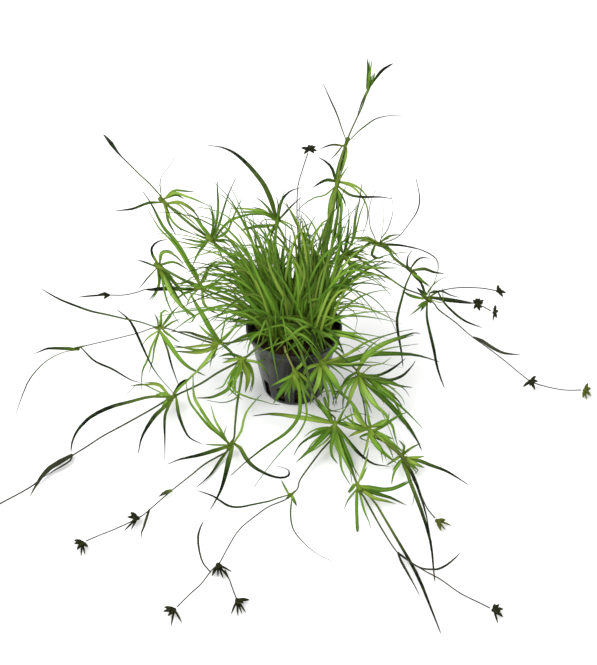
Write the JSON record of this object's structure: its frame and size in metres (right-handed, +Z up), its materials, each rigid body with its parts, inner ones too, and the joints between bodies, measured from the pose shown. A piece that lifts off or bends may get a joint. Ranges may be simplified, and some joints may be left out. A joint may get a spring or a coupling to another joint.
{
  "type": "potted creeping rush",
  "caption": "Small net pot with a sprawling rush: arching runner stems with whorls of narrow pointed leaves, and dark flower heads on thin trailing stalks.",
  "frame": {"origin": "centre of the flat underside of the pot, on the surface that it stands on", "axes": "+Z up along the pot's axis, -Y toward the picture's viewpoint, +X to the viewer's right"},
  "size_m": [0.3443, 0.2951, 0.172],
  "materials": {
    "pot_plastic": "dark charcoal moulded plastic, slightly glossy",
    "soil": "damp brown fibrous substrate",
    "stem": "smooth olive green stem",
    "leaf": "satin green blade with darker and yellower stretches",
    "flower": "dry dark olive bracts"
  },
  "bodies": {
    "root": {"pot": "pot_plastic", "soil": "soil", "crown_left": "leaf", "crown_back": "leaf", "crown_right": "leaf", "shoot_front": "leaf", "shoot_right": "leaf", "stem_back_left": "stem", "stem_back": "stem", "stem_left_upper": "stem", "stem_left": "stem", "stem_front_left": "stem", "stem_front_middle": "stem", "stem_front": "stem", "stem_front_right": "stem", "stem_right": "stem", "stem_back_right": "stem", "stem_right_upper": "stem", "stem_top": "stem", "stem_top_flower": "stem", "stem_side_flowers": "stem", "leaves_back_left_tip": "leaf", "leaves_back_left": "leaf", "leaves_back": "leaf", "leaves_left_upper": "leaf", "leaves_left_upper_tip": "leaf", "leaves_left": "leaf", "leaves_left_near": "leaf", "leaves_left_tip": "leaf", "leaves_front_left": "leaf", "leaves_left_low": "leaf", "leaves_front_middle": "leaf", "leaves_front_low": "leaf", "leaves_front": "leaf", "leaves_front_right": "leaf", "leaves_right_low": "leaf", "leaves_right": "leaf", "leaves_right_middle": "leaf", "leaves_far_right": "leaf", "leaves_right_upper_tip": "leaf", "leaves_right_upper": "leaf", "leaves_back_right": "leaf", "leaves_top": "leaf", "leaves_top_middle": "leaf", "leaves_top_tip": "leaf", "bud_left": "flower", "flower_left_far": "flower", "flower_front_left_near": "flower", "flower_front_left_far": "flower", "flower_front_middle": "flower", "flower_front_low_left": "flower", "flower_front_low_right": "flower", "flower_front_right_far": "flower", "flower_right_low": "flower", "flower_right_near": "flower", "flower_right_far": "flower", "flower_top": "flower", "flower_side_near": "flower", "flower_side_far": "flower", "flower_side_back": "flower"}
  },
  "joints": []
}
